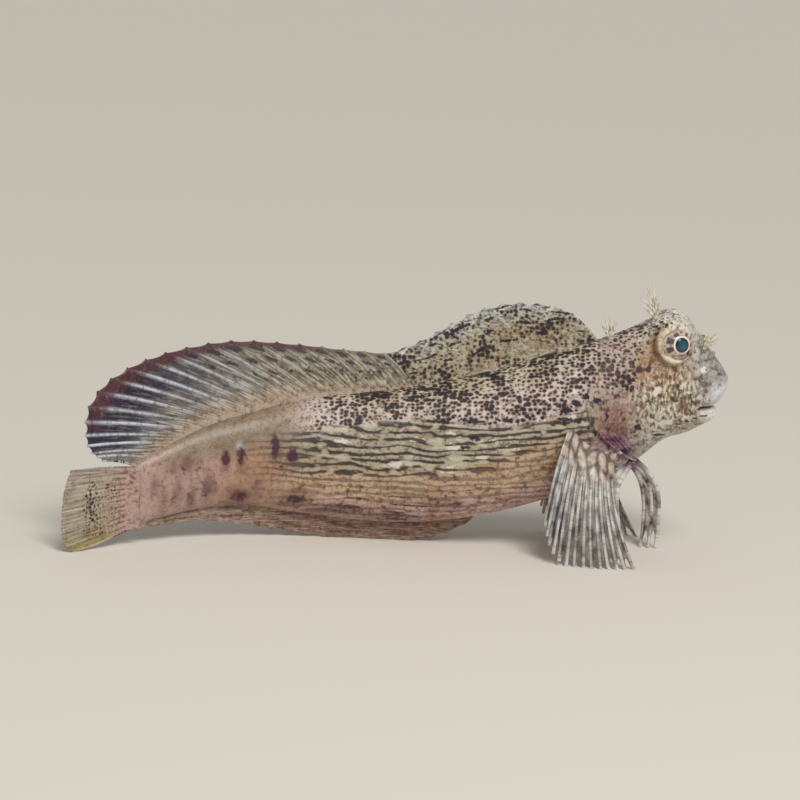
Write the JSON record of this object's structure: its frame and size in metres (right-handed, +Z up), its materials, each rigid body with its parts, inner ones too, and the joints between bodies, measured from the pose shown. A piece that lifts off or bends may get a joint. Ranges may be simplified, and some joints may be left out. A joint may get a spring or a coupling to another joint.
{
  "type": "blenny",
  "caption": "Life-size blenny, a small bottom-living sea fish, still, propped on its pectoral and pelvic fins with its tail bent to one side.",
  "frame": {"origin": "middle of the box round the fish, at floor level", "axes": "+X towards the head, +Y to the fish's left, +Z up"},
  "size_m": [0.1154, 0.039, 0.0486],
  "materials": {
    "head_skin": "damp scaleless skin, sandy beige with olive and brown mottling and dark spots",
    "body_skin": "damp scaleless skin, pinkish tan with dark dots above and wavy dark lines along the flank",
    "eye": "wet eye, dark teal pupil in a silvery ring, pale iris with maroon spokes",
    "spiny_fin": "thin greenish membrane with dark flecks over stiff spines",
    "soft_fin": "clear membrane between whitish rays, wine-red at the edge",
    "anal_fin": "rosy brown membrane with dark streaks",
    "caudal_fin": "clear olive membrane with small dark dots",
    "paired_fin": "whitish rays with dark spots, clear membrane between",
    "cirrus": "pale fleshy filaments"
  },
  "bodies": {
    "root": {"head": "head_skin", "torso": "body_skin", "tail": "body_skin", "eye_left": "eye", "eye_right": "eye", "dorsal_fin_front": "spiny_fin", "dorsal_fin_rear": "soft_fin", "anal_fin": "anal_fin", "caudal_fin": "caudal_fin", "pectoral_fin_left": "paired_fin", "pectoral_fin_right": "paired_fin", "pelvic_fin_left": "paired_fin", "pelvic_fin_right": "paired_fin", "brow_cirrus_left": "cirrus", "brow_cirrus_right": "cirrus", "nose_cirrus_left": "cirrus", "nose_cirrus_right": "cirrus", "nape_cirrus_left": "cirrus", "nape_cirrus_right": "cirrus"}
  },
  "joints": []
}
